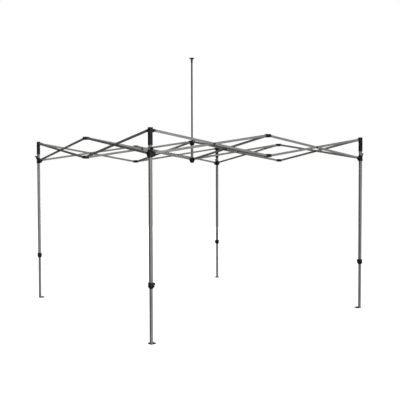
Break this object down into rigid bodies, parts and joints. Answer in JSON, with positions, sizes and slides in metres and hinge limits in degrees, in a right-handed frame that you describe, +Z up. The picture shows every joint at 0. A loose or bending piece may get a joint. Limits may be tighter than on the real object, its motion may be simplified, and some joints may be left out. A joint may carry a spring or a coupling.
{
  "type": "pop up canopy frame",
  "caption": "Folding frame of a pop-up canopy: telescopic legs, a ring of scissor spans, and inner scissor spans that carry a central mast.",
  "frame": {"origin": "on the ground, under the mast, at the centre of the four legs", "axes": "+Z up along the mast; X and Y run along the sides; the front side is at -Y and the left side at -X"},
  "size_m": [3.0466, 3.0466, 3.117],
  "materials": {
    "frame_paint": "grey hammered powder coat on steel tube, semi-gloss",
    "inner_leg_paint": "grey powder coat on steel tube, semi-gloss, with rub marks",
    "mast_paint": "dark grey powder coat on steel tube, semi-gloss",
    "bracket_plastic": "black moulded nylon, fine texture",
    "control_plastic": "black moulded nylon, smooth",
    "fastener_steel": "bright zinc plate on the rivets, bolts, nuts and pins that show on the brackets and bars"
  },
  "bodies": {
    "upper_hub": {"upper_hub": "bracket_plastic"},
    "front_spoke_upper_bar": {"front_spoke_upper_bar": "frame_paint"},
    "front_spoke_lower_bar": {"front_spoke_lower_bar": "frame_paint"},
    "front_upper_connector": {"front_upper_connector": "bracket_plastic"},
    "front_lower_connector": {"front_lower_connector": "bracket_plastic"},
    "lower_hub": {"lower_hub": "bracket_plastic", "mast_lower_tube": "frame_paint"},
    "front_start_top_bar": {"front_start_top_bar": "frame_paint"},
    "front_start_slider_bar": {"front_start_slider_bar": "frame_paint"},
    "front_end_top_bar": {"front_end_top_bar": "frame_paint"},
    "front_end_slider_bar": {"front_end_slider_bar": "frame_paint"},
    "leg_front_left": {"outer_leg_front_left": "frame_paint", "top_bracket_front_left": "bracket_plastic"},
    "slider_front_left": {"slider_front_left": "bracket_plastic"},
    "inner_leg_front_left": {"inner_leg_front_left": "inner_leg_paint"},
    "pull_pin_front_left": {"pull_pin_front_left": "control_plastic"},
    "lock_button_front_left": {"lock_button_front_left": "control_plastic"},
    "right_spoke_upper_bar": {"right_spoke_upper_bar": "frame_paint"},
    "right_spoke_lower_bar": {"right_spoke_lower_bar": "frame_paint"},
    "right_upper_connector": {"right_upper_connector": "bracket_plastic"},
    "right_lower_connector": {"right_lower_connector": "bracket_plastic"},
    "right_start_top_bar": {"right_start_top_bar": "frame_paint"},
    "right_start_slider_bar": {"right_start_slider_bar": "frame_paint"},
    "right_end_top_bar": {"right_end_top_bar": "frame_paint"},
    "right_end_slider_bar": {"right_end_slider_bar": "frame_paint"},
    "leg_front_right": {"outer_leg_front_right": "frame_paint", "top_bracket_front_right": "bracket_plastic"},
    "slider_front_right": {"slider_front_right": "bracket_plastic"},
    "inner_leg_front_right": {"inner_leg_front_right": "inner_leg_paint"},
    "pull_pin_front_right": {"pull_pin_front_right": "control_plastic"},
    "lock_button_front_right": {"lock_button_front_right": "control_plastic"},
    "back_spoke_upper_bar": {"back_spoke_upper_bar": "frame_paint"},
    "back_spoke_lower_bar": {"back_spoke_lower_bar": "frame_paint"},
    "back_upper_connector": {"back_upper_connector": "bracket_plastic"},
    "back_lower_connector": {"back_lower_connector": "bracket_plastic"},
    "back_start_top_bar": {"back_start_top_bar": "frame_paint"},
    "back_start_slider_bar": {"back_start_slider_bar": "frame_paint"},
    "back_end_top_bar": {"back_end_top_bar": "frame_paint"},
    "back_end_slider_bar": {"back_end_slider_bar": "frame_paint"},
    "leg_back_right": {"outer_leg_back_right": "frame_paint", "top_bracket_back_right": "bracket_plastic"},
    "slider_back_right": {"slider_back_right": "bracket_plastic"},
    "inner_leg_back_right": {"inner_leg_back_right": "inner_leg_paint"},
    "pull_pin_back_right": {"pull_pin_back_right": "control_plastic"},
    "lock_button_back_right": {"lock_button_back_right": "control_plastic"},
    "left_spoke_upper_bar": {"left_spoke_upper_bar": "frame_paint"},
    "left_spoke_lower_bar": {"left_spoke_lower_bar": "frame_paint"},
    "left_upper_connector": {"left_upper_connector": "bracket_plastic"},
    "left_lower_connector": {"left_lower_connector": "bracket_plastic"},
    "left_start_top_bar": {"left_start_top_bar": "frame_paint"},
    "left_start_slider_bar": {"left_start_slider_bar": "frame_paint"},
    "left_end_top_bar": {"left_end_top_bar": "frame_paint"},
    "left_end_slider_bar": {"left_end_slider_bar": "frame_paint"},
    "leg_back_left": {"outer_leg_back_left": "frame_paint", "top_bracket_back_left": "bracket_plastic"},
    "slider_back_left": {"slider_back_left": "bracket_plastic"},
    "inner_leg_back_left": {"inner_leg_back_left": "inner_leg_paint"},
    "pull_pin_back_left": {"pull_pin_back_left": "control_plastic"},
    "lock_button_back_left": {"lock_button_back_left": "control_plastic"},
    "mast_upper_tube": {"mast_upper_tube": "mast_paint"}
  },
  "joints": [
    {"name": "frame_fold", "type": "hinge", "parent": "upper_hub", "child": "front_spoke_upper_bar", "pos_m": [-0.0065, -0.034, 2.055], "axis": [1, 0, 0], "range_deg": [0, 77.2]},
    {"name": "front_lower_connector_pivot", "type": "hinge", "parent": "front_spoke_upper_bar", "child": "front_lower_connector", "pos_m": [-0.0065, -1.435, 1.84], "axis": [1, 0, 0], "range_deg": [-77.2, 0]},
    {"name": "front_spoke_crossing", "type": "hinge", "parent": "front_spoke_upper_bar", "child": "front_spoke_lower_bar", "pos_m": [0, -0.7345, 1.9475], "axis": [1, 0, 0], "range_deg": [-154.4, 0]},
    {"name": "front_upper_connector_pivot", "type": "hinge", "parent": "front_spoke_lower_bar", "child": "front_upper_connector", "pos_m": [0.0065, -1.435, 2.055], "axis": [1, 0, 0], "range_deg": [0, 77.2]},
    {"name": "lower_hub_pivot", "type": "hinge", "parent": "front_spoke_lower_bar", "child": "lower_hub", "pos_m": [0.0065, -0.034, 1.84], "axis": [1, 0, 0], "range_deg": [0, 77.2]},
    {"name": "front_start_bar_pivot", "type": "hinge", "parent": "front_lower_connector", "child": "front_start_top_bar", "pos_m": [-0.028, -1.4815, 1.84], "axis": [0, 1, 0], "range_deg": [0, 77.2]},
    {"name": "front_end_bar_pivot", "type": "hinge", "parent": "front_lower_connector", "child": "front_end_top_bar", "pos_m": [0.028, -1.4815, 1.84], "axis": [0, 1, 0], "range_deg": [-77.2, 0]},
    {"name": "front_start_crossing", "type": "hinge", "parent": "front_start_top_bar", "child": "front_start_slider_bar", "pos_m": [-0.7285, -1.475, 1.9475], "axis": [0, 1, 0], "range_deg": [-154.4, 0]},
    {"name": "front_end_crossing", "type": "hinge", "parent": "front_end_top_bar", "child": "front_end_slider_bar", "pos_m": [0.7285, -1.475, 1.9475], "axis": [0, 1, 0], "range_deg": [0, 154.4]},
    {"name": "front_left_bracket_pivot", "type": "hinge", "parent": "front_start_top_bar", "child": "leg_front_left", "pos_m": [-1.429, -1.4815, 2.055], "axis": [0, 1, 0], "range_deg": [-77.2, 0]},
    {"name": "front_left_slider_pivot", "type": "hinge", "parent": "front_start_slider_bar", "child": "slider_front_left", "pos_m": [-1.429, -1.4685, 1.84], "axis": [0, 1, 0], "range_deg": [0, 77.2]},
    {"name": "front_left_leg_telescope", "type": "slide", "parent": "leg_front_left", "child": "inner_leg_front_left", "axis": [0, 0, 1], "range_m": [0, 0.49]},
    {"name": "front_left_pull_pin", "type": "slide", "parent": "slider_front_left", "child": "pull_pin_front_left", "axis": [0, -1, 0], "range_m": [0, 0.008], "stiffness_N_per_m": 400, "springref_m": -0.005},
    {"name": "front_left_lock_button", "type": "slide", "parent": "leg_front_left", "child": "lock_button_front_left", "axis": [-1, 0, 0], "range_m": [0, 0.004], "stiffness_N_per_m": 600, "springref_m": -0.003},
    {"name": "right_spoke_fold", "type": "hinge", "parent": "upper_hub", "child": "right_spoke_upper_bar", "pos_m": [0.034, -0.0065, 2.055], "axis": [0, 1, 0], "range_deg": [0, 77.2]},
    {"name": "right_lower_connector_pivot", "type": "hinge", "parent": "right_spoke_upper_bar", "child": "right_lower_connector", "pos_m": [1.435, -0.0065, 1.84], "axis": [0, 1, 0], "range_deg": [-77.2, 0]},
    {"name": "right_spoke_crossing", "type": "hinge", "parent": "right_spoke_upper_bar", "child": "right_spoke_lower_bar", "pos_m": [0.7345, 0, 1.9475], "axis": [0, 1, 0], "range_deg": [-154.4, 0]},
    {"name": "right_upper_connector_pivot", "type": "hinge", "parent": "right_spoke_lower_bar", "child": "right_upper_connector", "pos_m": [1.435, 0.0065, 2.055], "axis": [0, 1, 0], "range_deg": [0, 77.2]},
    {"name": "right_start_bar_pivot", "type": "hinge", "parent": "right_lower_connector", "child": "right_start_top_bar", "pos_m": [1.4815, -0.028, 1.84], "axis": [-1, 0, 0], "range_deg": [0, 77.2]},
    {"name": "right_end_bar_pivot", "type": "hinge", "parent": "right_lower_connector", "child": "right_end_top_bar", "pos_m": [1.4815, 0.028, 1.84], "axis": [-1, 0, 0], "range_deg": [-77.2, 0]},
    {"name": "right_start_crossing", "type": "hinge", "parent": "right_start_top_bar", "child": "right_start_slider_bar", "pos_m": [1.475, -0.7285, 1.9475], "axis": [-1, 0, 0], "range_deg": [-154.4, 0]},
    {"name": "right_end_crossing", "type": "hinge", "parent": "right_end_top_bar", "child": "right_end_slider_bar", "pos_m": [1.475, 0.7285, 1.9475], "axis": [-1, 0, 0], "range_deg": [0, 154.4]},
    {"name": "front_right_bracket_pivot", "type": "hinge", "parent": "right_start_top_bar", "child": "leg_front_right", "pos_m": [1.4815, -1.429, 2.055], "axis": [-1, 0, 0], "range_deg": [-77.2, 0]},
    {"name": "front_right_slider_pivot", "type": "hinge", "parent": "right_start_slider_bar", "child": "slider_front_right", "pos_m": [1.4685, -1.429, 1.84], "axis": [-1, 0, 0], "range_deg": [0, 77.2]},
    {"name": "front_right_leg_telescope", "type": "slide", "parent": "leg_front_right", "child": "inner_leg_front_right", "axis": [0, 0, 1], "range_m": [0, 0.49]},
    {"name": "front_right_pull_pin", "type": "slide", "parent": "slider_front_right", "child": "pull_pin_front_right", "axis": [1, 0, 0], "range_m": [0, 0.008], "stiffness_N_per_m": 400, "springref_m": -0.005},
    {"name": "front_right_lock_button", "type": "slide", "parent": "leg_front_right", "child": "lock_button_front_right", "axis": [0, -1, 0], "range_m": [0, 0.004], "stiffness_N_per_m": 600, "springref_m": -0.003},
    {"name": "back_spoke_fold", "type": "hinge", "parent": "upper_hub", "child": "back_spoke_upper_bar", "pos_m": [0.0065, 0.034, 2.055], "axis": [-1, 0, 0], "range_deg": [0, 77.2]},
    {"name": "back_lower_connector_pivot", "type": "hinge", "parent": "back_spoke_upper_bar", "child": "back_lower_connector", "pos_m": [0.0065, 1.435, 1.84], "axis": [-1, 0, 0], "range_deg": [-77.2, 0]},
    {"name": "back_spoke_crossing", "type": "hinge", "parent": "back_spoke_upper_bar", "child": "back_spoke_lower_bar", "pos_m": [0, 0.7345, 1.9475], "axis": [-1, 0, 0], "range_deg": [-154.4, 0]},
    {"name": "back_upper_connector_pivot", "type": "hinge", "parent": "back_spoke_lower_bar", "child": "back_upper_connector", "pos_m": [-0.0065, 1.435, 2.055], "axis": [-1, 0, 0], "range_deg": [0, 77.2]},
    {"name": "back_start_bar_pivot", "type": "hinge", "parent": "back_lower_connector", "child": "back_start_top_bar", "pos_m": [0.028, 1.4815, 1.84], "axis": [0, -1, 0], "range_deg": [0, 77.2]},
    {"name": "back_end_bar_pivot", "type": "hinge", "parent": "back_lower_connector", "child": "back_end_top_bar", "pos_m": [-0.028, 1.4815, 1.84], "axis": [0, -1, 0], "range_deg": [-77.2, 0]},
    {"name": "back_start_crossing", "type": "hinge", "parent": "back_start_top_bar", "child": "back_start_slider_bar", "pos_m": [0.7285, 1.475, 1.9475], "axis": [0, -1, 0], "range_deg": [-154.4, 0]},
    {"name": "back_end_crossing", "type": "hinge", "parent": "back_end_top_bar", "child": "back_end_slider_bar", "pos_m": [-0.7285, 1.475, 1.9475], "axis": [0, -1, 0], "range_deg": [0, 154.4]},
    {"name": "back_right_bracket_pivot", "type": "hinge", "parent": "back_start_top_bar", "child": "leg_back_right", "pos_m": [1.429, 1.4815, 2.055], "axis": [0, -1, 0], "range_deg": [-77.2, 0]},
    {"name": "back_right_slider_pivot", "type": "hinge", "parent": "back_start_slider_bar", "child": "slider_back_right", "pos_m": [1.429, 1.4685, 1.84], "axis": [0, -1, 0], "range_deg": [0, 77.2]},
    {"name": "back_right_leg_telescope", "type": "slide", "parent": "leg_back_right", "child": "inner_leg_back_right", "axis": [0, 0, 1], "range_m": [0, 0.49]},
    {"name": "back_right_pull_pin", "type": "slide", "parent": "slider_back_right", "child": "pull_pin_back_right", "axis": [0, 1, 0], "range_m": [0, 0.008], "stiffness_N_per_m": 400, "springref_m": -0.005},
    {"name": "back_right_lock_button", "type": "slide", "parent": "leg_back_right", "child": "lock_button_back_right", "axis": [1, 0, 0], "range_m": [0, 0.004], "stiffness_N_per_m": 600, "springref_m": -0.003},
    {"name": "left_spoke_fold", "type": "hinge", "parent": "upper_hub", "child": "left_spoke_upper_bar", "pos_m": [-0.034, 0.0065, 2.055], "axis": [0, -1, 0], "range_deg": [0, 77.2]},
    {"name": "left_lower_connector_pivot", "type": "hinge", "parent": "left_spoke_upper_bar", "child": "left_lower_connector", "pos_m": [-1.435, 0.0065, 1.84], "axis": [0, -1, 0], "range_deg": [-77.2, 0]},
    {"name": "left_spoke_crossing", "type": "hinge", "parent": "left_spoke_upper_bar", "child": "left_spoke_lower_bar", "pos_m": [-0.7345, 0, 1.9475], "axis": [0, -1, 0], "range_deg": [-154.4, 0]},
    {"name": "left_upper_connector_pivot", "type": "hinge", "parent": "left_spoke_lower_bar", "child": "left_upper_connector", "pos_m": [-1.435, -0.0065, 2.055], "axis": [0, -1, 0], "range_deg": [0, 77.2]},
    {"name": "left_start_bar_pivot", "type": "hinge", "parent": "left_lower_connector", "child": "left_start_top_bar", "pos_m": [-1.4815, 0.028, 1.84], "axis": [1, 0, 0], "range_deg": [0, 77.2]},
    {"name": "left_end_bar_pivot", "type": "hinge", "parent": "left_lower_connector", "child": "left_end_top_bar", "pos_m": [-1.4815, -0.028, 1.84], "axis": [1, 0, 0], "range_deg": [-77.2, 0]},
    {"name": "left_start_crossing", "type": "hinge", "parent": "left_start_top_bar", "child": "left_start_slider_bar", "pos_m": [-1.475, 0.7285, 1.9475], "axis": [1, 0, 0], "range_deg": [-154.4, 0]},
    {"name": "left_end_crossing", "type": "hinge", "parent": "left_end_top_bar", "child": "left_end_slider_bar", "pos_m": [-1.475, -0.7285, 1.9475], "axis": [1, 0, 0], "range_deg": [0, 154.4]},
    {"name": "back_left_bracket_pivot", "type": "hinge", "parent": "left_start_top_bar", "child": "leg_back_left", "pos_m": [-1.4815, 1.429, 2.055], "axis": [1, 0, 0], "range_deg": [-77.2, 0]},
    {"name": "back_left_slider_pivot", "type": "hinge", "parent": "left_start_slider_bar", "child": "slider_back_left", "pos_m": [-1.4685, 1.429, 1.84], "axis": [1, 0, 0], "range_deg": [0, 77.2]},
    {"name": "back_left_leg_telescope", "type": "slide", "parent": "leg_back_left", "child": "inner_leg_back_left", "axis": [0, 0, 1], "range_m": [0, 0.49]},
    {"name": "back_left_pull_pin", "type": "slide", "parent": "slider_back_left", "child": "pull_pin_back_left", "axis": [-1, 0, 0], "range_m": [0, 0.008], "stiffness_N_per_m": 400, "springref_m": -0.005},
    {"name": "back_left_lock_button", "type": "slide", "parent": "leg_back_left", "child": "lock_button_back_left", "axis": [0, 1, 0], "range_m": [0, 0.004], "stiffness_N_per_m": 600, "springref_m": -0.003},
    {"name": "mast_extension", "type": "slide", "parent": "lower_hub", "child": "mast_upper_tube", "axis": [0, 0, 1], "range_m": [0, 0.17]}
  ],
  "couplings": [
    {"joint": "front_lower_connector_pivot", "follows": "frame_fold", "ratio": -1},
    {"joint": "front_spoke_crossing", "follows": "frame_fold", "ratio": -2},
    {"joint": "front_upper_connector_pivot", "follows": "frame_fold", "ratio": 1},
    {"joint": "lower_hub_pivot", "follows": "frame_fold", "ratio": 1},
    {"joint": "front_start_bar_pivot", "follows": "frame_fold", "ratio": 1},
    {"joint": "front_end_bar_pivot", "follows": "frame_fold", "ratio": -1},
    {"joint": "front_start_crossing", "follows": "frame_fold", "ratio": -2},
    {"joint": "front_end_crossing", "follows": "frame_fold", "ratio": 2},
    {"joint": "front_left_bracket_pivot", "follows": "frame_fold", "ratio": -1},
    {"joint": "front_left_slider_pivot", "follows": "frame_fold", "ratio": 1},
    {"joint": "right_spoke_fold", "follows": "frame_fold", "ratio": 1},
    {"joint": "right_lower_connector_pivot", "follows": "frame_fold", "ratio": -1},
    {"joint": "right_spoke_crossing", "follows": "frame_fold", "ratio": -2},
    {"joint": "right_upper_connector_pivot", "follows": "frame_fold", "ratio": 1},
    {"joint": "right_start_bar_pivot", "follows": "frame_fold", "ratio": 1},
    {"joint": "right_end_bar_pivot", "follows": "frame_fold", "ratio": -1},
    {"joint": "right_start_crossing", "follows": "frame_fold", "ratio": -2},
    {"joint": "right_end_crossing", "follows": "frame_fold", "ratio": 2},
    {"joint": "front_right_bracket_pivot", "follows": "frame_fold", "ratio": -1},
    {"joint": "front_right_slider_pivot", "follows": "frame_fold", "ratio": 1},
    {"joint": "back_spoke_fold", "follows": "frame_fold", "ratio": 1},
    {"joint": "back_lower_connector_pivot", "follows": "frame_fold", "ratio": -1},
    {"joint": "back_spoke_crossing", "follows": "frame_fold", "ratio": -2},
    {"joint": "back_upper_connector_pivot", "follows": "frame_fold", "ratio": 1},
    {"joint": "back_start_bar_pivot", "follows": "frame_fold", "ratio": 1},
    {"joint": "back_end_bar_pivot", "follows": "frame_fold", "ratio": -1},
    {"joint": "back_start_crossing", "follows": "frame_fold", "ratio": -2},
    {"joint": "back_end_crossing", "follows": "frame_fold", "ratio": 2},
    {"joint": "back_right_bracket_pivot", "follows": "frame_fold", "ratio": -1},
    {"joint": "back_right_slider_pivot", "follows": "frame_fold", "ratio": 1},
    {"joint": "left_spoke_fold", "follows": "frame_fold", "ratio": 1},
    {"joint": "left_lower_connector_pivot", "follows": "frame_fold", "ratio": -1},
    {"joint": "left_spoke_crossing", "follows": "frame_fold", "ratio": -2},
    {"joint": "left_upper_connector_pivot", "follows": "frame_fold", "ratio": 1},
    {"joint": "left_start_bar_pivot", "follows": "frame_fold", "ratio": 1},
    {"joint": "left_end_bar_pivot", "follows": "frame_fold", "ratio": -1},
    {"joint": "left_start_crossing", "follows": "frame_fold", "ratio": -2},
    {"joint": "left_end_crossing", "follows": "frame_fold", "ratio": 2},
    {"joint": "back_left_bracket_pivot", "follows": "frame_fold", "ratio": -1},
    {"joint": "back_left_slider_pivot", "follows": "frame_fold", "ratio": 1},
    {"joint": "mast_extension", "follows": "frame_fold", "m_per_rad": 0.12617}
  ]
}
